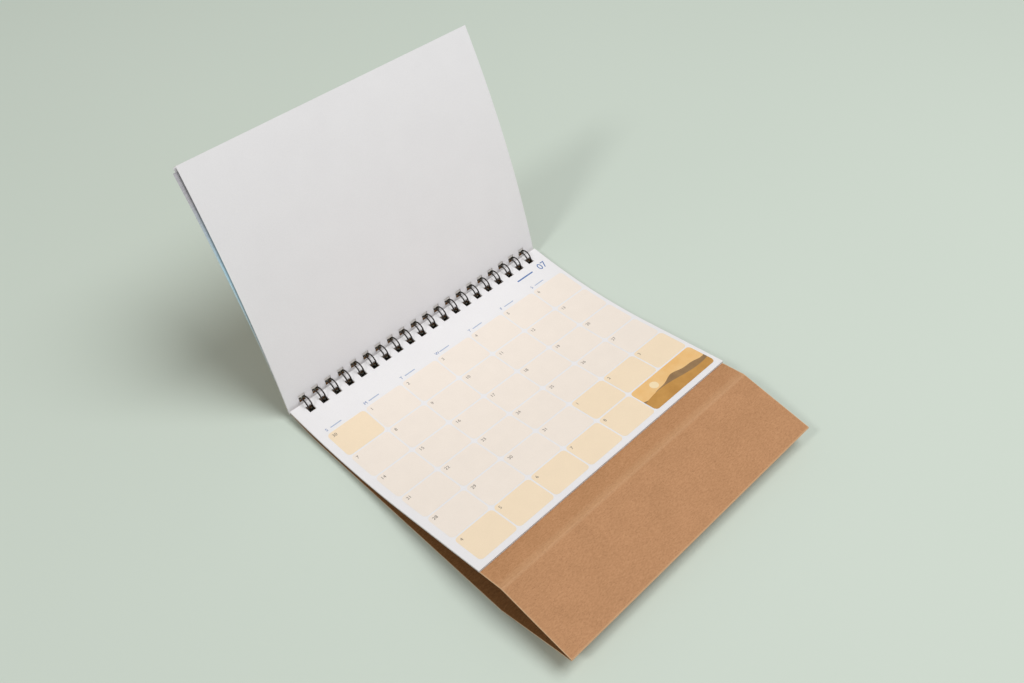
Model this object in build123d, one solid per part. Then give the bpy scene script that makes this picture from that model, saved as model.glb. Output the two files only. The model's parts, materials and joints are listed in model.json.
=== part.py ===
from build123d import *

# Wire-bound desk calendar set down half folded: a scored card stand lies on its back panel,
# the month's leaves lie on the front panel and the leaves already used stand turned back.
# Millimetres. X runs along the spine, -Y is towards the reader and +Z is up.
# The origin is the centre of the back panel's flat underside.
# Profiles are drawn in the YZ plane from the axis of the wire loops, then moved to that origin.

import os
from math import acos, atan2, cos, degrees, pi, radians, sin, sqrt, tan

# Leaves
page_width = 180.0
page_length = 137.0
leaf_thickness = 0.2
leaves_to_come = 6
leaves_turned_behind = 6

# Card stand
card_thickness = 0.5
side_inset = 1.0
front_lip = 13.3
base_length = 44.0
crease_radius = 2.0
fold_radius = 0.4

# Punched holes
hole_size = 4.0
hole_margin = 2.4
hole_pitch = 25.4 / 3
least_end_margin = 6.0
flat_past_hole = 0.6

# Twin-loop wire
wire_diameter = 0.75
loop_bore = 7.5
arm_clearance = 0.35
bar_bend_radius = 0.9
bar_angle = 236.0
closing_gap = 0.4
table_clearance = 0.1

# How the sheets lie at the loops and beyond
page_rise = 0.55
sheet_gap = 0.05
panel_gap = 0.6
front_slope = 4.5
front_lift = 9.5
sag_length = 79.8
back_slope = 11.0
leaf_offset = 1.75
leaf_lean = 20.0
leaf_droop = 13.5
leaf_slip = 0.12
block_gap = 0.1
block_lean = 20.4
block_slip = 0.25

# Values that follow from the sizes above
wire_radius = wire_diameter / 2
loop_radius = loop_bore / 2 + wire_radius
axis_height = loop_radius + wire_radius + table_clearance
wire_side = wire_diameter * sqrt(pi) / 2
arm_spacing = hole_size - wire_diameter - 2 * arm_clearance
half_arm = arm_spacing / 2
loop_count = int((page_width - 2 * least_end_margin) / hole_pitch) + 1
loop_places = [(i - (loop_count - 1) / 2) * hole_pitch for i in range(loop_count)]
edge_to_hole = hole_margin + hole_size / 2
flat_past_row = hole_size / 2 + flat_past_hole
flat_margin = edge_to_hole + flat_past_row
block_thickness = leaves_to_come * leaf_thickness
turned_thickness = leaves_turned_behind * leaf_thickness
leaf_front = leaf_offset - leaf_thickness / 2
block_front = leaf_offset + leaf_thickness / 2 + block_gap
leaf_hole_reach = sqrt(loop_radius**2 - leaf_offset**2) - leaf_slip
block_hole_reach = sqrt(loop_radius**2 - (block_front + turned_thickness / 2) ** 2) - block_slip
stand_width = page_width - 2 * side_inset
panel_length = page_length + front_lip
front_height = page_rise - block_thickness - sheet_gap - card_thickness / 2
back_height = front_height - card_thickness - panel_gap
row_y = -sqrt(loop_radius**2 - front_height**2)
sag_radius = sag_length / radians(front_slope + front_lift)
back_rise = axis_height + back_height - card_thickness / 2 - flat_past_row * sin(radians(back_slope))
back_radius = back_rise / (1 - cos(radians(back_slope)))
flat_length = panel_length - flat_margin - back_radius * radians(back_slope)
profile = Plane.YZ
ring = Plane(origin=(0, 0, 0), x_dir=(0, 1, 0), z_dir=(1, 0, 0))


def heading(angle):
    """Unit vector in the profile, angle in degrees from +Y towards +Z."""
    return Vector(cos(radians(angle)), sin(radians(angle)))


def hole_cutters(plane, depth):
    """One square punch for each loop, square to a plane whose x axis runs along the spine."""
    return [plane * Pos(x, 0, 0) * Box(hole_size, hole_size, depth) for x in loop_places]


def front_sheet_path(height, length):
    """Path of a sheet on the front panel, height above the panel's middle, from the spine edge on."""
    fall = heading(180 + front_slope)
    row = Vector(row_y, front_height) + heading(90 + front_slope) * height
    margin = Line(row - fall * edge_to_hole, row + fall * flat_past_row)
    sag = JernArc(margin @ 1, fall, sag_radius - height, -(front_slope + front_lift))
    straight = length - flat_margin - sag_length
    return [margin, sag, Line(sag @ 1, sag @ 1 + heading(180 - front_lift) * straight)]


def make_stand():
    front_margin, front_sag, front_run = front_sheet_path(0, panel_length)
    front_crease = front_run @ 1
    fall = heading(180 + back_slope)
    back_row = Vector(row_y, back_height)
    back_margin = Line(back_row - fall * edge_to_hole, back_row + fall * flat_past_row)
    back_arc = JernArc(back_margin @ 1, fall, back_radius, -back_slope)
    back_crease = back_arc @ 1 + heading(180) * flat_length
    apart = front_crease - back_crease
    to_fold = degrees(acos(apart.length / 2 / base_length)) + degrees(atan2(apart.Y, apart.X))
    fold = back_crease + heading(to_fold) * base_length
    corners = [front_sag @ 1, front_crease, fold, back_crease, back_arc @ 1]
    panels = FilletPolyline(*corners, radius=[crease_radius, fold_radius, crease_radius])
    front_edges = [*front_margin.edges(), *front_sag.edges()]
    back_edges = [*back_arc.edges(), *back_margin.edges()]
    path = Wire([*front_edges, *panels.edges(), *back_edges])
    section = make_face(path.offset_2d(card_thickness / 2, side=Side.BOTH))
    card = extrude(profile * section, stand_width / 2, both=True)
    punch = Plane(origin=(0, row_y, (front_height + back_height) / 2), x_dir=(1, 0, 0), z_dir=(0, 0, 1))
    return card - hole_cutters(punch, 4 * (panel_gap + 2 * card_thickness))


def make_page_block():
    low = card_thickness / 2 + sheet_gap
    high = low + block_thickness
    under = front_sheet_path(low, page_length)
    over = front_sheet_path(high, page_length)
    ends = [Line(under[0] @ 0, over[0] @ 0), Line(under[-1] @ 1, over[-1] @ 1)]
    section = make_face([*under, *over, *ends])
    block = extrude(profile * section, page_width / 2, both=True)
    punch = Plane(origin=(0, row_y, page_rise), x_dir=(1, 0, 0), z_dir=(0, 0, 1))
    return block - hole_cutters(punch, 4 * block_thickness)


def make_turned_sheet(near, thickness, lean, hole_reach):
    """Leaf or stack of leaves turned back. near is its front face's distance behind the loops' axis."""
    rise = heading(90 - lean)
    away = heading(-lean)
    start = rise * (hole_reach - edge_to_hole)
    radius = (page_length - flat_margin) / radians(leaf_droop)
    sides = (near, near + thickness)
    margins = [Line(start + away * d, start + away * d + rise * flat_margin) for d in sides]
    bends = [JernArc(margins[i] @ 1, rise, radius + near - sides[i], -leaf_droop) for i in (0, 1)]
    ends = [Line(margins[0] @ 0, margins[1] @ 0), Line(bends[0] @ 1, bends[1] @ 1)]
    section = make_face([*margins, *bends, *ends])
    sheet = extrude(profile * section, page_width / 2, both=True)
    row = rise * hole_reach + away * (near + thickness / 2)
    punch = Plane(origin=(0, row.X, row.Y), x_dir=(1, 0, 0), z_dir=(0, away.X, away.Y))
    return sheet - hole_cutters(punch, 8 * thickness)


def wire_section(place, along, outward):
    """Square with the round wire's area, one side towards outward."""
    return Plane(origin=place, x_dir=outward, z_dir=along) * Rectangle(wire_side, wire_side)


def straight_wire(points, outward):
    """Wire along straight runs in a plane square to outward, mitred where they meet."""
    path = Polyline(*points)
    return sweep(wire_section(points[0], path % 0, outward), path, transition=Transition.RIGHT)


def open_sides(wire, ends):
    """Faces of a length of wire without the caps at its ends, where the wire runs on."""
    return [f for f in wire.faces() if min((f.center() - end).length for end in ends) > wire_side / 4]


def make_loop():
    """Faces of one twin loop with half a bar to each neighbour, and the cap of its right half bar."""
    first = bar_angle + degrees(bar_bend_radius / loop_radius)
    last = 360 + bar_angle - degrees((half_arm + closing_gap + wire_diameter) / loop_radius)
    side = Vector(1, 0, 0)
    half_corner = tan(radians(22.5))
    out_first = ring.from_local_coords(heading(first))
    back = ring.from_local_coords(heading(first - 90))
    out_last = ring.from_local_coords(heading(last))
    on = ring.from_local_coords(heading(last + 90))
    start = out_first * loop_radius + side * half_arm
    end = out_last * loop_radius + side * half_arm
    arm = revolve(wire_section(start, -back, out_first), Axis.X, last - first)

    bend = bar_bend_radius
    root = [
        start,
        start + back * bend * half_corner,
        start + back * bend + side * bend * (1 - half_corner),
        start + back * bend + side * (hole_pitch / 2 - half_arm),
    ]
    foot = straight_wire(root, out_first)
    half = open_sides(arm, (start, end)) + open_sides(foot, (root[0], root[-1]))
    other_half = [mirror(face, Plane.YZ) for face in half]

    near_tip = [
        end,
        end + on * half_arm * half_corner,
        end + on * half_arm - side * half_arm * (1 - half_corner),
    ]
    far_tip = [Vector(-point.X, point.Y, point.Z) for point in reversed(near_tip)]
    tip = open_sides(straight_wire(near_tip + far_tip, out_last), (near_tip[0], far_tip[-1]))
    return half + other_half + tip, foot.faces().sort_by(Axis.X)[-1]


def make_wire():
    """All loops sewn into one continuous wire, closed at its two cut ends."""
    loop, cap = make_loop()
    faces = [Pos(x, 0, 0) * face for x in loop_places for face in loop]
    end_cap = Pos(loop_places[-1], 0, 0) * cap
    faces += [end_cap, mirror(end_cap, Plane.YZ)]
    return Solid(Shell(faces))


def main():
    os.makedirs("parts", exist_ok=True)
    nodes = {
        "folded_stand": make_stand(),
        "page_block": make_page_block(),
        "turned_leaf": make_turned_sheet(leaf_front, leaf_thickness, leaf_lean, leaf_hole_reach),
        "turned_block": make_turned_sheet(block_front, turned_thickness, block_lean, block_hole_reach),
        "wire_binding": make_wire(),
    }
    back_turn = radians(back_slope)
    row_to_face = flat_past_row * cos(back_turn) + back_radius * sin(back_turn) + flat_length / 2
    to_origin = Pos(0, row_to_face - row_y, axis_height)
    for name, part in nodes.items():
        export_step(to_origin * part, f"parts/{name}.step")
    print("loop axis at y, z:", round(row_to_face - row_y, 3), round(axis_height, 3))


main()
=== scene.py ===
"""Looks of a wire-bound desk calendar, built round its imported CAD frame."""

import json
import math
import random

import bpy
from mathutils import Matrix, Vector


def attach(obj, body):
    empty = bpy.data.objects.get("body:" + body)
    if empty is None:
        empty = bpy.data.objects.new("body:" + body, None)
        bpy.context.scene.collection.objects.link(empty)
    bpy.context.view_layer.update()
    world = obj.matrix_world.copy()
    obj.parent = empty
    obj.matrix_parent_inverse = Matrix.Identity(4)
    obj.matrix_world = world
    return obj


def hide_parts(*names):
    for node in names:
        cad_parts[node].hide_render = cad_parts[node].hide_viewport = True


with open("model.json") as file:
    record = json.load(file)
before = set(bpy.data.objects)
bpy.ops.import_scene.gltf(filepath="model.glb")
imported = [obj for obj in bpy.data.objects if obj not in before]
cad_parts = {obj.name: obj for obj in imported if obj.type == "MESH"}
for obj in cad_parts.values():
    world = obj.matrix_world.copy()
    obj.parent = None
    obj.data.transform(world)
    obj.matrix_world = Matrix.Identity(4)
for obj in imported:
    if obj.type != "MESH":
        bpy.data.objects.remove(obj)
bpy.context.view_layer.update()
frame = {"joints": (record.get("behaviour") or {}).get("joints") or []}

# Sizes in millimetres and angles in degrees, as in the part's source with two exceptions: the card is
# wider here (smaller SIDE_INSET), so that its dark edge shows under the page, and the leaves of a
# stack are thinner than their pitch, with air between them.
PAGE_WIDTH, PAGE_LENGTH = 180.0, 137.0
LEAVES, LEAF_PITCH, LEAF_THICKNESS = 6, 0.2, 0.15
CARD, SIDE_INSET, FRONT_LIP, BASE_LENGTH = 0.5, 0.4, 13.3, 44.0
CREASE_RADIUS, FOLD_RADIUS = 2.0, 0.4
HOLE, HOLE_MARGIN, HOLE_PITCH, FLAT_PAST_HOLE = 4.0, 2.4, 25.4 / 3, 0.6
LOOPS, WIRE, LOOP_RADIUS, HALF_ARM = 20, 0.75, 4.125, 1.275
BAR_BEND, BAR_ANGLE, CLOSING_GAP = 0.9, 236.0, 0.4
SHEET_GAP = 0.05
FRONT_SLOPE, FRONT_LIFT, SAG_LENGTH, BACK_SLOPE = 4.5, 9.5, 79.8, 11.0
FRONT_HEIGHT, BACK_HEIGHT, AXIS_HEIGHT = -0.95, -2.05, 4.6
LEAF_FRONT, LEAF_LEAN, LEAF_REACH = 1.65, 20.0, 3.6154
BLOCK_FRONT, BLOCK_LEAN, BLOCK_REACH = 1.95, 20.4, 2.9924
LEAF_DROOP = 13.5

# Values that follow from these sizes
EDGE_TO_ROW = HOLE_MARGIN + HOLE / 2
FLAT_MARGIN = EDGE_TO_ROW + HOLE / 2 + FLAT_PAST_HOLE
PANEL_LENGTH = PAGE_LENGTH + FRONT_LIP
ROW_Y = -math.sqrt(LOOP_RADIUS**2 - FRONT_HEIGHT**2)
STACK_FOOT = CARD / 2 + SHEET_GAP
PAGE_TOP = STACK_FOOT + LEAVES * LEAF_PITCH
LOOP_PLACES = [(i - (LOOPS - 1) / 2) * HOLE_PITCH for i in range(LOOPS)]
AXIS = Vector(frame["joints"][0]["pos_m"]) * 1000

# How single sheets depart from their stack
PAGE_OVERREACH = 0.5
PAGE_SHIFT, PAGE_SHORT, PAGE_NARROW = 0.12, 0.3, 0.3
USED_ASKEW = (2.4, 0.5, 1.0, 0.2, 0.7, 0.0)
USED_SHORT, USED_NARROW, PICTURE_SHORT = 0.4, 0.24, 2.2
# The cover's holes sit higher, so that its dark face, painted shade, fills the lower part of each hole
STACK_HOLE_DROP, COVER_HOLE_DROP = 0.85, -0.95

# Mesh steps: millimetres along a sheet, pieces of a bend, or degrees round the wire
PAGE_STEP, STACK_STEP, LEAF_STEP, USED_STEP = 4.0, 10.0, 3.0, 8.0
SAG_STEP, PANEL_STEP = 5, 6
ARC_STEPS, BEND_STEPS = 10, 8
BEND_ANGLE_STEP, ARM_ANGLE_STEP = 18, 7
EDGE_LINE = 0.5

# Card stand: stations close to the front crease and between two bends, how pale each bend is rubbed and
# how fast that falls off, and the rows of the front panel whose cut edges lie in the page's shade, painted
# dark as shade
CREASE_STATIONS = (PANEL_LENGTH - 4, PANEL_LENGTH - 1.6)
BASE_PLACES = (0.01, 0.03, 0.2, 0.4, 0.6, 0.8, 0.97, 0.99)
BEND_RUBS = ((0.35, 0.03), (1.0, 0.2), (0.35, 0.03))
SHADED_ROWS = range(1, 22)

# Month print: a row of weekday letters over six rows of seven cells
CELL_TOP, CELL_PITCH, CELL_LEFT, CELL_WIDTH = 22.6, 18.57, -85.9, 24.87
CELL_GAP, CELL_CORNER = 0.85, 2.2
INK_LIFT = 0.025
DATES = [30] + list(range(1, 32)) + list(range(1, 9))
MONTH_CELLS = range(1, 32)
DATE_SIZE, DATE_LEFT, DATE_DOWN = 2.7, 1.9, 3.4
LETTER_SIZE, LETTER_LEFT, LETTER_UP = 2.6, 1.6, 1.3
RULE_LEFT, RULE_RIGHT, RULE_TOP, RULE_FOOT, RULE_CORNER = 4.6, 11.6, 2.4, 1.8, 0.25
MONTH_SIZE, MONTH_RIGHT, MONTH_LINE = 6.4, 86.5, 14.0
MONTH_RULE, MONTH_RULE_CORNER = (63.0, 75.5, 11.5, 12.4), 0.4
SUN_LEFT, SUN_TOP, SUN_SIZE, SUN_CORNER = 11.0, 2.6, 5.0, 2.49
HILL_STEP = 0.8

# Floor, light and camera, in metres
FLOOR_HALF, FLOOR_DROP = 4, 0.00005
WORLD_COLOUR, WORLD_STRENGTH = (1.0, 0.975, 0.91, 1.0), 0.24
LIGHT_AIM = (0.0, 0.05, 0.03)
LIGHTS = (
    ("key", (0.26, -0.26, 0.92), 1.62, 1.15, 17.9, (0.99, 0.99, 1.0)),
    ("side", (-0.723, 0.057, 0.689), 3.0, 0.52, 19.0, (1.0, 0.99, 0.98)),
)
CAMERA_SENSOR, CAMERA_LENS = 36.0, 37.0266
CAMERA_NEAR, CAMERA_FAR = 0.01, 20.0
CAMERA_RIGHT, CAMERA_UP = (0.697997, -0.714712, 0.044582), (0.504374, 0.534863, 0.677885)
# The eye in millimetres from the loops' axis: along the spine, then in the side view
CAMERA_X, CAMERA_SIDE = -264.238, (-300.397, 420.845)


def heading(angle):
    """Unit vector in the side view, angle in degrees from +Y towards +Z."""
    return Vector((math.cos(math.radians(angle)), math.sin(math.radians(angle))))


def place(x, point):
    """Part frame in metres from a place along the spine and a side-view point at the loops' axis."""
    return Vector((x + AXIS.x, point[0] + AXIS.y, point[1] + AXIS.z)) / 1000


def spaced(low, high, step):
    """Even places from low to high, about a step apart."""
    count = max(1, round((high - low) / step))
    return [low + (high - low) * i / count for i in range(count + 1)]


def front_point(s, height):
    """Side-view point of a sheet on the front panel, s from its spine edge.

    height is counted from the middle of the panel's card.
    """
    turn = FRONT_SLOPE + FRONT_LIFT
    radius = SAG_LENGTH / math.radians(turn)
    fall, up = heading(180 + FRONT_SLOPE), heading(90 + FRONT_SLOPE)
    row = Vector((ROW_Y, FRONT_HEIGHT))
    if s <= FLAT_MARGIN:
        return row + fall * (s - EDGE_TO_ROW) + up * height
    centre = row + fall * (FLAT_MARGIN - EDGE_TO_ROW) + up * radius
    bent = min(turn, math.degrees((s - FLAT_MARGIN) / radius))
    straight = max(0.0, s - FLAT_MARGIN - SAG_LENGTH)
    on_arc = centre - heading(90 + FRONT_SLOPE - bent) * (radius - height)
    return on_arc + heading(180 - FRONT_LIFT) * straight


def turned_point(s, depth, near, lean, reach):
    """Side-view point of a leaf turned back, s from its spine edge, depth behind the stack's front."""
    rise, away = heading(90 - lean), heading(-lean)
    start = rise * (reach - EDGE_TO_ROW) + away * (near + depth)
    if s <= FLAT_MARGIN:
        return start + rise * s
    length = PAGE_LENGTH - FLAT_MARGIN
    radius = length / math.radians(LEAF_DROOP)
    centre = start + rise * FLAT_MARGIN + away * (radius - depth)
    return centre - heading(-lean - LEAF_DROOP * (s - FLAT_MARGIN) / length) * (radius - depth)


def rounded_corner(before, corner, after, radius, steps):
    """Points of a fillet between two straight runs."""
    into, out = (before - corner).normalized(), (after - corner).normalized()
    half = into.angle(out) / 2
    reach = radius / math.tan(half)
    first, last = corner + into * reach, corner + out * reach
    centre = corner + (into + out).normalized() * (radius / math.sin(half))
    spokes = [(first - centre).lerp(last - centre, i / steps).normalized() for i in range(steps + 1)]
    return [centre + spoke * radius for spoke in spokes]


def stand_path():
    """Middle line of the folded card from the front spine edge round to the back one.

    With it come the stations where a hole begins, and how far the stations at bends are rubbed pale.
    """
    past_row = FLAT_MARGIN - EDGE_TO_ROW
    turn = math.radians(BACK_SLOPE)
    arc_rise = AXIS_HEIGHT + BACK_HEIGHT - CARD / 2 - past_row * math.sin(turn)
    radius = arc_rise / (1 - math.cos(turn))
    flat = PANEL_LENGTH - FLAT_MARGIN - radius * turn
    fall = heading(180 + BACK_SLOPE)
    back_row = Vector((ROW_Y, BACK_HEIGHT))
    arc_start = back_row + fall * past_row
    centre = arc_start + heading(90 + BACK_SLOPE) * radius
    arc = [centre - heading(90 + BACK_SLOPE * i / ARC_STEPS) * radius for i in range(ARC_STEPS + 1)]
    back_crease = arc[0] - Vector((flat, 0))
    front_crease = front_point(PANEL_LENGTH, 0)
    apart = front_crease - back_crease
    to_fold = math.degrees(math.acos(apart.length / 2 / BASE_LENGTH) + math.atan2(apart.y, apart.x))
    fold = back_crease + heading(to_fold) * BASE_LENGTH
    sag_end = front_point(FLAT_MARGIN + SAG_LENGTH, 0)

    front_s = [0.0, HOLE_MARGIN, HOLE_MARGIN + HOLE, FLAT_MARGIN]
    front_s += spaced(FLAT_MARGIN, FLAT_MARGIN + SAG_LENGTH, SAG_STEP)[1:]
    front_s += spaced(FLAT_MARGIN + SAG_LENGTH, CREASE_STATIONS[0], PANEL_STEP)[1:]
    front_s.append(CREASE_STATIONS[1])
    runs = [front_point(s, 0) for s in front_s]
    corners = [sag_end, front_crease, fold, back_crease, arc[0]]
    radii = (CREASE_RADIUS, FOLD_RADIUS, CREASE_RADIUS)
    bends = [rounded_corner(*corners[i:i + 3], radii[i], BEND_STEPS) for i in range(3)]
    panel_ends = (bends[1][0], bends[2][0], arc[0])
    scored = {}
    for curve, after, (peak, fall_off) in zip(bends, panel_ends, BEND_RUBS):
        for k in range(-1, len(curve) + 1):
            scored[len(runs) + k] = peak - abs(k - BEND_STEPS // 2) * fall_off
        runs += curve
        runs += [curve[-1].lerp(after, t) for t in BASE_PLACES]
    runs += arc
    runs += [back_row + fall * (HOLE / 2), back_row - fall * (HOLE / 2), back_row - fall * EDGE_TO_ROW]
    return runs, [1, len(runs) - 3], scored


def add_object(name, vertices, faces, materials, face_materials=None, smooth=True):
    mesh = bpy.data.meshes.new(name)
    mesh.from_pydata(vertices, [], faces)
    for material in materials:
        mesh.materials.append(material)
    if face_materials:
        mesh.polygons.foreach_set("material_index", face_materials)
    mesh.polygons.foreach_set("use_smooth", [smooth] * len(faces))
    mesh.validate()
    mesh.update()
    obj = bpy.data.objects.new(name, mesh)
    bpy.context.collection.objects.link(obj)
    return obj


def keep_edges(obj, angle):
    """Marks edges sharper than the angle, so that smooth shading stops at them."""
    bpy.context.view_layer.objects.active = obj
    obj.select_set(True)
    bpy.ops.object.shade_smooth_by_angle(angle=math.radians(angle))
    obj.select_set(False)


class Sheets:
    """Collects punched sheets into one mesh: broad faces, cut edges, and how worn each point is."""

    def __init__(self):
        self.vertices, self.faces, self.kinds, self.wear = [], [], [], []

    def add(self, outer, inner, xs, hole_rows, worn, kinds=(0, 1, 2, 2), shaded_rows=()):
        """outer and inner give the two faces at (station, x); hole_rows are stations where a hole begins.

        kinds are the materials of the outer face, the inner face, the cut edges, and the hole walls
        together with the cut edges in shaded_rows.
        """
        rows, columns = len(worn), len(xs)
        middles = [(a + b) / 2 for a, b in zip(xs, xs[1:])]
        punched = {j for j, x in enumerate(middles) if min(abs(x - loop) for loop in LOOP_PLACES) < 1}
        first = len(self.vertices)
        for surface in (outer, inner):
            for i in range(rows):
                for j in range(columns):
                    self.vertices.append(surface(i, xs[j]))
                    self.wear.append(max(worn[i], 1.0 if j in (0, columns - 1) else 0.0))
        other = first + rows * columns

        def is_inside(i, j):
            return 0 <= i < rows - 1 and 0 <= j < columns - 1

        def is_paper(i, j):
            return is_inside(i, j) and not (i in hole_rows and j in punched)

        def at(base, i, j):
            return base + i * columns + j

        for i in range(rows - 1):
            for j in range(columns - 1):
                if not is_paper(i, j):
                    continue
                corners = [(i, j), (i, j + 1), (i + 1, j + 1), (i + 1, j)]
                self.put([at(first, *c) for c in corners], kinds[0])
                self.put([at(other, *c) for c in reversed(corners)], kinds[1])
                beside = [(i - 1, j), (i, j + 1), (i + 1, j), (i, j - 1)]
                for k, cell in enumerate(beside):
                    if not is_paper(*cell):
                        a, b = corners[k], corners[(k + 1) % 4]
                        edge = [at(first, *b), at(first, *a), at(other, *a), at(other, *b)]
                        is_shaded = i in shaded_rows or is_inside(*cell)
                        self.put(edge, kinds[3 if is_shaded else 2])

    def put(self, face, kind):
        self.faces.append(face)
        self.kinds.append(kind)

    def build(self, name, materials):
        obj = add_object(name, self.vertices, self.faces, materials, self.kinds)
        layer = obj.data.attributes.new("wear", "FLOAT", "POINT")
        layer.data.foreach_set("value", self.wear)
        keep_edges(obj, 40)
        return obj


def columns_for(width):
    """Places across a sheet: both edges, a line just inside each, and both sides of every hole."""
    sides = [x + side for x in LOOP_PLACES for side in (-HOLE / 2, HOLE / 2)]
    return [-width / 2, EDGE_LINE - width / 2] + sides + [width / 2 - EDGE_LINE, width / 2]


def leaf_stations(step, drop=0.0):
    """Places along a leaf from its spine edge; drop moves its holes towards that edge."""
    body = spaced(FLAT_MARGIN, PAGE_LENGTH, step)
    return [0.0, HOLE_MARGIN - drop, HOLE_MARGIN + HOLE - drop] + body


# Materials

WHITE, BLACK = (1.0, 1.0, 1.0), (0.0, 0.0, 0.0)


class Looks:
    """A material in the making: its shader, and nodes that work on the part's own coordinates."""

    def __init__(self, name):
        self.material = bpy.data.materials.new(name)
        self.material.use_nodes = True
        self.nodes, self.links = self.material.node_tree.nodes, self.material.node_tree.links
        self.shader = self.nodes["Principled BSDF"]
        self.coords = self.nodes.new("ShaderNodeTexCoord").outputs["Object"]

    def noise(self, scale, detail, stretch=None):
        coords = self.coords
        if stretch:
            mapping = self.nodes.new("ShaderNodeMapping")
            mapping.inputs["Scale"].default_value = stretch
            self.links.new(coords, mapping.inputs["Vector"])
            coords = mapping.outputs["Vector"]
        texture = self.nodes.new("ShaderNodeTexNoise")
        texture.inputs["Scale"].default_value = scale
        texture.inputs["Detail"].default_value = detail
        self.links.new(coords, texture.inputs["Vector"])
        return texture.outputs["Fac"]

    def ramp(self, fac, *stops):
        """Colours at their positions along fac."""
        node = self.nodes.new("ShaderNodeValToRGB")
        elements = node.color_ramp.elements
        while len(elements) < len(stops):
            elements.new(0.5)
        for element, (position, colour) in zip(elements, stops):
            element.position = position
            element.color = (*colour, 1.0)
        self.links.new(fac, node.inputs["Fac"])
        return node.outputs["Color"]

    def spread(self, value, low, high, reach=1.0):
        """Maps a value of 0 to reach onto low to high."""
        node = self.nodes.new("ShaderNodeMapRange")
        node.inputs["From Max"].default_value = reach
        node.inputs["To Min"].default_value = low
        node.inputs["To Max"].default_value = high
        self.links.new(value, node.inputs["Value"])
        return node.outputs["Result"]

    def blend(self, fac, first, second, mode="MULTIPLY"):
        """Mixes two colours; each input is a socket or a constant."""
        node = self.nodes.new("ShaderNodeMix")
        node.data_type, node.blend_type = "RGBA", mode
        for socket, value in ((node.inputs[0], fac), (node.inputs[6], first), (node.inputs[7], second)):
            if isinstance(value, bpy.types.NodeSocket):
                self.links.new(value, socket)
            else:
                socket.default_value = value if isinstance(value, float) else (*value, 1.0)
        return node.outputs[2]

    def bump(self, height, strength, distance):
        node = self.nodes.new("ShaderNodeBump")
        node.inputs["Strength"].default_value = strength
        node.inputs["Distance"].default_value = distance
        self.links.new(height, node.inputs["Height"])
        self.links.new(node.outputs["Normal"], self.shader.inputs["Normal"])

    def drive(self, name, socket):
        """Feeds one of the shader's inputs from a node."""
        self.links.new(socket, self.shader.inputs[name])


def paper_material(name, low, high, roughness=0.62):
    """Matt paper: faint clouding and a fine tooth."""
    looks = Looks(name)
    clouds = looks.noise(scale=60.0, detail=4.0)
    tooth = looks.noise(scale=2600.0, detail=2.0)
    tone = looks.ramp(clouds, (0.3, low), (0.7, high))
    grain = looks.ramp(tooth, (0.35, (0.965, 0.965, 0.965)), (0.65, WHITE))
    looks.drive("Base Color", looks.blend(1.0, tone, grain))
    looks.shader.inputs["Roughness"].default_value = roughness
    looks.shader.inputs["Specular IOR Level"].default_value = 0.3
    looks.bump(tooth, strength=0.12, distance=0.00006)
    return looks.material


def bleed_material(name, *stops):
    """Paper of the used leaves whose pictures run off the sheet: colours by height, with a fine grain."""
    looks = Looks(name)
    split = looks.nodes.new("ShaderNodeSeparateXYZ")
    looks.links.new(looks.coords, split.inputs["Vector"])
    bleed = looks.ramp(looks.spread(split.outputs["Z"], 0.0, 1.0, reach=0.13), *stops)
    lines = looks.noise(scale=900.0, detail=2.0, stretch=(0.2, 6.0, 1.0))
    grain = looks.ramp(lines, (0.3, (0.8, 0.8, 0.8)), (0.7, WHITE))
    looks.drive("Base Color", looks.blend(1.0, bleed, grain))
    looks.shader.inputs["Roughness"].default_value = 0.8
    looks.bump(lines, strength=0.3, distance=0.0001)
    return looks.material


def kraft_material(name, dark, middle, light, edge, pale):
    """Brown kraft card: fibres along the spine, mottling, flecks, and paler scores and edges."""
    looks = Looks(name)
    fibres = looks.noise(scale=1100.0, detail=6.0, stretch=(0.6, 1.3, 1.3))
    mottle = looks.noise(scale=70.0, detail=5.0)
    flecks = looks.noise(scale=2300.0, detail=2.0)
    body = looks.ramp(fibres, (0.3, dark), (0.5, middle), (0.72, light))
    patches = looks.ramp(mottle, (0.35, (0.955, 0.95, 0.935)), (0.65, (1.02, 1.02, 1.03)))
    dark_fleck, pale_fleck = (0.62, 0.56, 0.5), (1.16, 1.18, 1.22)
    specks = looks.ramp(flecks, (0.3, dark_fleck), (0.4, WHITE), (0.66, WHITE), (0.74, pale_fleck))
    specked = looks.blend(0.75, looks.blend(1.0, body, patches), specks)
    wear = looks.nodes.new("ShaderNodeAttribute")
    wear.attribute_name = "wear"
    rubbed = looks.spread(wear.outputs["Fac"], 0.0, pale)
    looks.drive("Base Color", looks.blend(rubbed, specked, edge, "MIX"))
    looks.drive("Roughness", looks.spread(fibres, 0.55, 0.75))
    looks.shader.inputs["Specular IOR Level"].default_value = 0.35
    looks.bump(fibres, strength=0.1, distance=0.0001)
    return looks.material


def ink_material(name, colour, second=None):
    """Printed ink on paper: the colour with a fine screen and a faint uneven lay-down."""
    looks = Looks(name)
    other = second or tuple(c * 0.98 for c in colour)
    tone = looks.ramp(looks.noise(scale=130.0, detail=4.0), (0.3, other), (0.7, colour))
    screen = looks.noise(scale=3200.0, detail=1.0)
    dots = looks.ramp(screen, (0.35, (0.97, 0.965, 0.955)), (0.65, WHITE))
    looks.drive("Base Color", looks.blend(1.0, tone, dots))
    looks.shader.inputs["Roughness"].default_value = 0.58
    looks.shader.inputs["Specular IOR Level"].default_value = 0.3
    looks.bump(screen, strength=0.08, distance=0.00005)
    return looks.material


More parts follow.
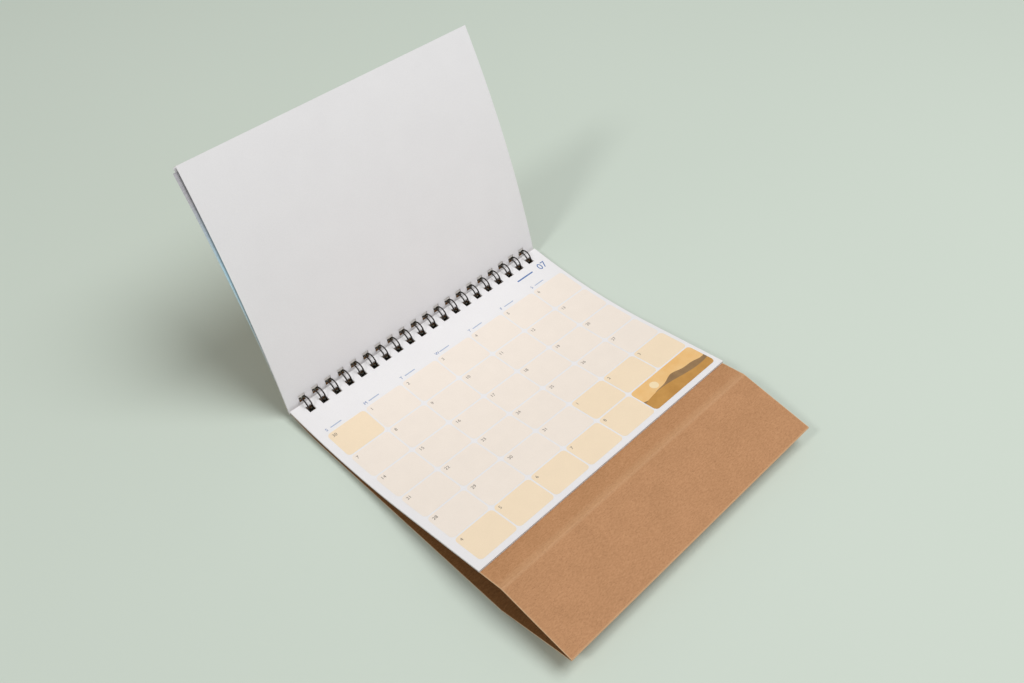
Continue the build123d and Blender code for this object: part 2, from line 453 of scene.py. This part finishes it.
def wire_material():
    """Satin dark coating on steel wire, with small brown scuffs."""
    looks = Looks("coated_wire")
    coat = looks.noise(scale=700.0, detail=4.0)
    scuffs = looks.noise(scale=2400.0, detail=3.0, stretch=(3.0, 1.0, 1.0))
    tone = looks.ramp(coat, (0.35, (0.012, 0.01, 0.009)), (0.65, (0.03, 0.024, 0.02)))
    worn = looks.ramp(scuffs, (0.62, BLACK), (0.78, (0.09, 0.07, 0.05)))
    looks.drive("Base Color", looks.blend(1.0, tone, worn, "ADD"))
    looks.drive("Roughness", looks.spread(coat, 0.25, 0.45))
    looks.shader.inputs["Metallic"].default_value = 0.35
    looks.bump(scuffs, strength=0.08, distance=0.00004)
    return looks.material


def floor_material():
    """Pale green paper sweep with faint clouding."""
    looks = Looks("floor")
    clouds = looks.noise(scale=2.0, detail=2.0)
    tone = looks.ramp(clouds, (0.3, (0.625, 0.705, 0.63)), (0.7, (0.645, 0.725, 0.65)))
    looks.drive("Base Color", tone)
    looks.shader.inputs["Roughness"].default_value = 0.9
    looks.shader.inputs["Specular IOR Level"].default_value = 0.1
    return looks.material


PAGE_PAPER = paper_material("page_paper", (0.845, 0.835, 0.848), (0.862, 0.852, 0.864))
# Blank paper of the turned leaves, a little brighter than the page paper as painted light on the leaves turned
# back
BLANK_PAPER_PAINTED_LIGHT = paper_material("leaf_paper_painted_light", (0.86, 0.85, 0.875), (0.876, 0.866, 0.891), 0.7)
PAGE_EDGE = paper_material("page_edges", (0.62, 0.61, 0.6), (0.8, 0.79, 0.78), 0.8)
# Cut edges of the leaves to come, darker than the top leaf's as painted shade between the pressed leaves
STACK_EDGE_PAINTED_SHADE = paper_material("stack_edges_painted_shade", (0.4, 0.35, 0.31), (0.56, 0.51, 0.47), 0.8)
LEAF_EDGE = bleed_material(
    "cut_leaf_edges",
    (0.0, (0.66, 0.68, 0.66)), (0.4, (0.55, 0.66, 0.7)), (0.6, (0.56, 0.79, 0.92)), (0.85, (0.62, 0.61, 0.65)),
)
PICTURE_BACK = bleed_material(
    "picture_back",
    (0.1, (0.85, 0.82, 0.79)), (0.4, (0.52, 0.64, 0.68)), (0.6, (0.55, 0.8, 0.94)), (0.85, (0.54, 0.53, 0.57)),
)
KRAFT_OUT = kraft_material(
    "kraft_outside", (0.45, 0.222, 0.096), (0.51, 0.258, 0.117), (0.56, 0.295, 0.142),
    edge=(0.8, 0.54, 0.32), pale=0.6,
)
# Dark kraft as painted shade: stand hole walls and cut edges under the page, cover front face and holes
KRAFT_PAINTED_SHADE = kraft_material(
    "kraft_painted_shade", (0.175, 0.076, 0.024), (0.22, 0.098, 0.032), (0.265, 0.123, 0.045),
    edge=(0.4, 0.22, 0.11), pale=0.15,
)
# Kraft of the stand's inner face, darker than the outside as painted shade of the hollow between the panels
KRAFT_HOLLOW_PAINTED_SHADE = kraft_material(
    "kraft_hollow_painted_shade", (0.238, 0.108, 0.035), (0.3, 0.139, 0.047), (0.36, 0.175, 0.066),
    edge=(0.4, 0.22, 0.11), pale=0.15,
)
KRAFT_EDGE = kraft_material(
    "kraft_cut_edge", (0.58, 0.36, 0.21), (0.68, 0.46, 0.29), (0.76, 0.55, 0.36),
    edge=(0.72, 0.5, 0.32), pale=0.3,
)
WIRE_COAT = wire_material()
INKS = [
    ink_material("ink_month_cells", (0.91, 0.825, 0.742)),
    ink_material("ink_other_cells", (0.935, 0.775, 0.572)),
    ink_material("ink_numbers", (0.2, 0.17, 0.14)),
    ink_material("ink_headings", (0.1, 0.2, 0.45)),
    ink_material("ink_rules", (0.42, 0.5, 0.66)),
    ink_material("ink_panel_sky", (0.86, 0.52, 0.2), (0.9, 0.6, 0.28)),
    ink_material("ink_panel_sun", (0.95, 0.78, 0.5)),
    ink_material("ink_panel_ridge", (0.26, 0.16, 0.08), (0.36, 0.22, 0.1)),
    ink_material("ink_panel_dune", (0.5, 0.25, 0.06), (0.62, 0.33, 0.09)),
]
PALE, DEEP, GREY, BLUE, RULE, SKY, SUN, RIDGE, DUNE = range(len(INKS))


# Card stand


def make_stand():
    path, holes, scored = stand_path()
    normals = []
    for i in range(len(path)):
        along = (path[min(i + 1, len(path) - 1)] - path[max(i - 1, 0)]).normalized()
        normals.append(Vector((along.y, -along.x)))
    worn = [scored.get(i, 0.0) for i in range(len(path))]
    worn[0] = worn[-1] = 1.0
    card = Sheets()
    card.add(
        lambda i, x: place(x, path[i] + normals[i] * CARD / 2),
        lambda i, x: place(x, path[i] - normals[i] * CARD / 2),
        columns_for(PAGE_WIDTH - 2 * SIDE_INSET), holes, worn, (0, 1, 2, 3), SHADED_ROWS,
    )
    # The last material, dark kraft, paints shade on the hole walls and on the cut edges of SHADED_ROWS
    stand = card.build("card_stand", [KRAFT_OUT, KRAFT_HOLLOW_PAINTED_SHADE, KRAFT_EDGE, KRAFT_PAINTED_SHADE])
    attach(stand, "stand")
    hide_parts("folded_stand")


# Leaves still to come


def make_pages():
    rng = random.Random(4)
    below, top = Sheets(), Sheets()
    for n in range(LEAVES):
        foot = STACK_FOOT + n * LEAF_PITCH
        is_top = n == LEAVES - 1
        shift = 0.0 if is_top else rng.uniform(-PAGE_SHIFT, PAGE_SHIFT)
        short = 0.0 if is_top else rng.uniform(0.0, PAGE_SHORT)
        stations = leaf_stations(PAGE_STEP if is_top else STACK_STEP)
        stations[0] -= PAGE_OVERREACH
        stations[-1] -= short
        high = foot + (LEAF_PITCH if is_top else LEAF_THICKNESS)
        xs = [x + shift for x in columns_for(PAGE_WIDTH - PAGE_NARROW * (not is_top))]
        (top if is_top else below).add(
            lambda i, x, high=high, stations=stations: place(x, front_point(stations[i], high)),
            lambda i, x, foot=foot, stations=stations: place(x, front_point(stations[i], foot)),
            xs, [1], [0.0] * len(stations),
        )
    page = top.build("month_leaf", [PAGE_PAPER, PAGE_PAPER, PAGE_EDGE])
    stack = below.build("leaves_to_come", [PAGE_PAPER, PAGE_PAPER, STACK_EDGE_PAINTED_SHADE])
    for obj in (page, stack):
        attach(obj, "stand")
        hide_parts("page_block")


# Month print on the top leaf


class Print:
    """Collects flat shapes in page places (x, s) and lays them on the bent top leaf."""

    def __init__(self):
        self.vertices, self.faces, self.kinds = [], [], []

    def put(self, points, faces, kind, lift):
        first = len(self.vertices)
        self.vertices += [place(x, front_point(s, PAGE_TOP + lift)) for x, s in points]
        self.faces += [[first + k for k in face] for face in faces]
        self.kinds += [kind] * len(faces)

    def cell(self, left, right, top, bottom, corner, kind, lift=INK_LIFT):
        """Rounded rectangle, made of rows from top to bottom."""
        turns = [corner * (1 - math.cos(math.radians(a))) for a in range(0, 91, 15)]
        inward = [corner * (1 - math.sin(math.radians(a))) for a in range(0, 91, 15)]
        rows = [(top + t, left + k, right - k) for t, k in zip(turns, inward)]
        rows += [(s, left, right) for s in spaced(top + corner, bottom - corner, 2.5)[1:-1]]
        rows += [(bottom - t, left + k, right - k) for t, k in reversed(list(zip(turns, inward)))]
        points = [(x, s) for s, start, end in rows for x in (start, end)]
        faces = [[2 * i, 2 * i + 2, 2 * i + 3, 2 * i + 1] for i in range(len(rows) - 1)]
        self.put(points, faces, kind, lift)

    def ridge(self, columns, kind, lift):
        """Shape given by columns of (x, top s, bottom s) from left to right."""
        points = [(x, s) for x, top, bottom in columns for s in (top, bottom)]
        faces = [[2 * i, 2 * i + 1, 2 * i + 3, 2 * i + 2] for i in range(len(columns) - 1)]
        self.put(points, faces, kind, lift)

    def text(self, body, size, x, s, kind, align="LEFT"):
        """A letter or number standing on the line at s."""
        curve = bpy.data.curves.new("glyphs", "FONT")
        curve.body, curve.size, curve.align_x, curve.resolution_u = body, size, align, 4
        obj = bpy.data.objects.new("glyphs", curve)
        bpy.context.collection.objects.link(obj)
        mesh = bpy.data.meshes.new_from_object(obj)
        points = [(x + v.co.x, s - v.co.y) for v in mesh.vertices]
        self.put(points, [list(p.vertices) for p in mesh.polygons], kind, 2 * INK_LIFT)
        bpy.data.objects.remove(obj)
        bpy.data.meshes.remove(mesh)
        bpy.data.curves.remove(curve)

    def build(self, name, materials):
        obj = add_object(name, self.vertices, self.faces, materials, self.kinds, smooth=False)
        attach(obj, "stand")


def make_print():
    ink = Print()
    for n, date in enumerate(DATES):
        row, column = divmod(n, 7)
        left = CELL_LEFT + column * CELL_WIDTH + CELL_GAP / 2
        right = left + CELL_WIDTH - CELL_GAP
        top = CELL_TOP + row * CELL_PITCH + CELL_GAP / 2
        bottom = top + CELL_PITCH - CELL_GAP
        ink.cell(left, right, top, bottom, CELL_CORNER, PALE if n in MONTH_CELLS else DEEP)
        ink.text(str(date), DATE_SIZE, left + DATE_LEFT, top + DATE_DOWN, GREY)
    for column, letter in enumerate("SMTWTFS"):
        left = CELL_LEFT + column * CELL_WIDTH + CELL_GAP / 2
        ink.text(letter, LETTER_SIZE, left + LETTER_LEFT, CELL_TOP - LETTER_UP, BLUE)
        rule_top, rule_foot = CELL_TOP - RULE_TOP, CELL_TOP - RULE_FOOT
        ink.cell(left + RULE_LEFT, left + RULE_RIGHT, rule_top, rule_foot, RULE_CORNER, RULE)
    ink.text("07", MONTH_SIZE, MONTH_RIGHT, MONTH_LINE, BLUE, "RIGHT")
    ink.cell(*MONTH_RULE, MONTH_RULE_CORNER, BLUE)

    # Made-up panel of a sun and hills over the last two cells
    left, right = CELL_LEFT + 5 * CELL_WIDTH + CELL_GAP / 2, CELL_LEFT + 7 * CELL_WIDTH - CELL_GAP / 2
    top, bottom = CELL_TOP + 5 * CELL_PITCH + CELL_GAP / 2, CELL_TOP + 6 * CELL_PITCH - CELL_GAP / 2
    ink.cell(left, right, top, bottom, CELL_CORNER, SKY)
    sun_left, sun_top = left + SUN_LEFT, top + SUN_TOP
    ink.cell(sun_left, sun_left + SUN_SIZE, sun_top, sun_top + SUN_SIZE, SUN_CORNER, SUN, 2 * INK_LIFT)

    def foot(x):
        """Lower edge of the panel with its round corners."""
        inset = max(0.0, CELL_CORNER - (x - left), CELL_CORNER - (right - x))
        return bottom - CELL_CORNER + math.sqrt(max(0.0, CELL_CORNER**2 - inset**2))

    def far_hill(x):
        return top + 8.4 + 1.5 * math.sin((x - left) * 0.16 + 0.6) + 0.5 * math.sin((x - left) * 0.43)

    def near_hill(x):
        return top + 11.2 - 1.9 * math.sin((x - left) * 0.105 + 0.3)

    for hill, kind, lift in ((far_hill, RIDGE, 3 * INK_LIFT), (near_hill, DUNE, 4 * INK_LIFT)):
        places = spaced(left, right, HILL_STEP)
        ink.ridge([(x, min(hill(x), foot(x)), foot(x)) for x in places], kind, lift)
    ink.build("month_print", INKS)


# Leaves already turned back


def make_turned_leaves():
    stations = leaf_stations(LEAF_STEP)
    leaf = Sheets()
    leaf.add(
        lambda i, x: place(x, turned_point(stations[i], 0.0, LEAF_FRONT, LEAF_LEAN, LEAF_REACH)),
        lambda i, x: place(x, turned_point(stations[i], LEAF_PITCH, LEAF_FRONT, LEAF_LEAN, LEAF_REACH)),
        columns_for(PAGE_WIDTH)[::-1], [1], [0.0] * len(stations),
    )
    front = leaf.build("turned_leaf_sheet", [BLANK_PAPER_PAINTED_LIGHT, BLANK_PAPER_PAINTED_LIGHT, PAGE_EDGE])
    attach(front, "turned_leaves")
    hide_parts("turned_leaf")

    # The used leaves behind it, each a little askew, and the kraft cover at the very back
    rng = random.Random(9)
    stack, cover = Sheets(), Sheets()
    xs = columns_for(PAGE_WIDTH - USED_NARROW)[::-1]
    for n in range(LEAVES):
        is_cover = n == LEAVES - 1
        stations = leaf_stations(USED_STEP, COVER_HOLE_DROP if is_cover else STACK_HOLE_DROP)
        stations[-1] -= PICTURE_SHORT if n == 0 else rng.uniform(0.0, USED_SHORT)

        def face(extra, n=n, stations=stations):
            depth = n * LEAF_PITCH + extra

            def point(i, x):
                slip = USED_ASKEW[n] * (stations[i] - EDGE_TO_ROW) / PAGE_LENGTH
                return place(x - slip, turned_point(stations[i], depth, BLOCK_FRONT, BLOCK_LEAN, BLOCK_REACH))

            return point

        # The cover's front face and hole walls take dark kraft, painted shade seen through the holes
        kinds = (3, 1, 2, 2) if n == 0 else (0, 1, 2, 0 if is_cover else 2)
        thickness = LEAF_PITCH if is_cover else LEAF_THICKNESS
        sheets = cover if is_cover else stack
        sheets.add(face(0.0), face(thickness), xs, [1], [0.0] * len(stations), kinds)
    behind = stack.build("turned_stack", [BLANK_PAPER_PAINTED_LIGHT, BLANK_PAPER_PAINTED_LIGHT, LEAF_EDGE, PICTURE_BACK])
    back = cover.build("turned_cover", [KRAFT_PAINTED_SHADE, KRAFT_OUT, KRAFT_EDGE])
    for obj, slot in ((behind, "plain_paper"), (back, "kraft_card")):
        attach(obj, "turned_leaves")
        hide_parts("turned_block")


# Twin-loop wire


def wire_path():
    """Places (x, side-view point) of one twin loop, from one neighbour's bar over its tip to the other's."""
    first = BAR_ANGLE + math.degrees(BAR_BEND / LOOP_RADIUS)
    last = 360 + BAR_ANGLE - math.degrees((HALF_ARM + CLOSING_GAP + WIRE) / LOOP_RADIUS)
    back, on = heading(first - 90), heading(last + 90)
    root, tip = heading(first) * LOOP_RADIUS, heading(last) * LOOP_RADIUS
    half = [(HOLE_PITCH / 2, root + back * BAR_BEND)]
    for a in range(90, -1, -BEND_ANGLE_STEP):
        t = math.radians(a)
        half.append((HALF_ARM + BAR_BEND * (1 - math.cos(t)), root + back * BAR_BEND * math.sin(t)))
    half += [(HALF_ARM, heading(a) * LOOP_RADIUS) for a in spaced(first, last, ARM_ANGLE_STEP)[1:]]
    for a in range(BEND_ANGLE_STEP, 91, BEND_ANGLE_STEP):
        t = math.radians(a)
        half.append((HALF_ARM * math.cos(t), tip + on * HALF_ARM * math.sin(t)))
    return [(-x, point) for x, point in half] + half[-2::-1]


def make_wire():
    loop = wire_path()
    points = [place(x + centre, point) for centre in LOOP_PLACES for x, point in loop[:-1]]
    points.append(place(LOOP_PLACES[-1] + loop[-1][0], loop[-1][1]))
    curve = bpy.data.curves.new("twin_loop_wire", "CURVE")
    curve.dimensions = "3D"
    curve.bevel_depth, curve.bevel_resolution, curve.use_fill_caps = WIRE / 2000, 4, True
    spline = curve.splines.new("POLY")
    spline.points.add(len(points) - 1)
    for target, point in zip(spline.points, points):
        target.co = (*point, 1.0)
    draft = bpy.data.objects.new("wire_draft", curve)
    bpy.context.collection.objects.link(draft)
    mesh = bpy.data.meshes.new_from_object(draft)
    bpy.data.objects.remove(draft)
    bpy.data.curves.remove(curve)
    wire = bpy.data.objects.new("twin_loop_wire", mesh)
    bpy.context.collection.objects.link(wire)
    mesh.materials.clear()
    mesh.materials.append(WIRE_COAT)
    mesh.polygons.foreach_set("use_smooth", [True] * len(mesh.polygons))
    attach(wire, "stand")
    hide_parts("wire_binding")


# Floor, light and camera


def make_stage():
    signs = ((-1, -1), (1, -1), (1, 1), (-1, 1))
    corners = [(x * FLOOR_HALF, y * FLOOR_HALF, -FLOOR_DROP) for x, y in signs]
    floor = add_object("floor", corners, [[0, 1, 2, 3]], [floor_material()])
    world = bpy.data.worlds.new("studio")
    world.use_nodes = True
    world.node_tree.nodes["Background"].inputs["Color"].default_value = WORLD_COLOUR
    world.node_tree.nodes["Background"].inputs["Strength"].default_value = WORLD_STRENGTH
    bpy.context.scene.world = world
    for name, direction, distance, size, power, colour in LIGHTS:
        light = bpy.data.lights.new(name, "AREA")
        light.shape, light.size, light.energy, light.color = "DISK", size, power, colour
        lamp = bpy.data.objects.new(name, light)
        bpy.context.collection.objects.link(lamp)
        out = Vector(direction).normalized()
        lamp.location = Vector(LIGHT_AIM) + out * distance
        lamp.rotation_euler = (-out).to_track_quat("-Z", "Y").to_euler()


def make_camera():
    data = bpy.data.cameras.new("camera")
    data.sensor_width, data.lens = CAMERA_SENSOR, CAMERA_LENS
    data.clip_start, data.clip_end = CAMERA_NEAR, CAMERA_FAR
    camera = bpy.data.objects.new("camera", data)
    bpy.context.collection.objects.link(camera)
    right, up = Vector(CAMERA_RIGHT), Vector(CAMERA_UP)
    turn = Matrix((right, up, right.cross(up))).transposed().to_4x4()
    camera.matrix_world = Matrix.Translation(place(CAMERA_X, CAMERA_SIDE)) @ turn
    bpy.context.scene.camera = camera


make_stand()
make_pages()
make_print()
make_turned_leaves()
make_wire()
make_stage()
make_camera()
bpy.context.scene.view_settings.view_transform = "Standard"
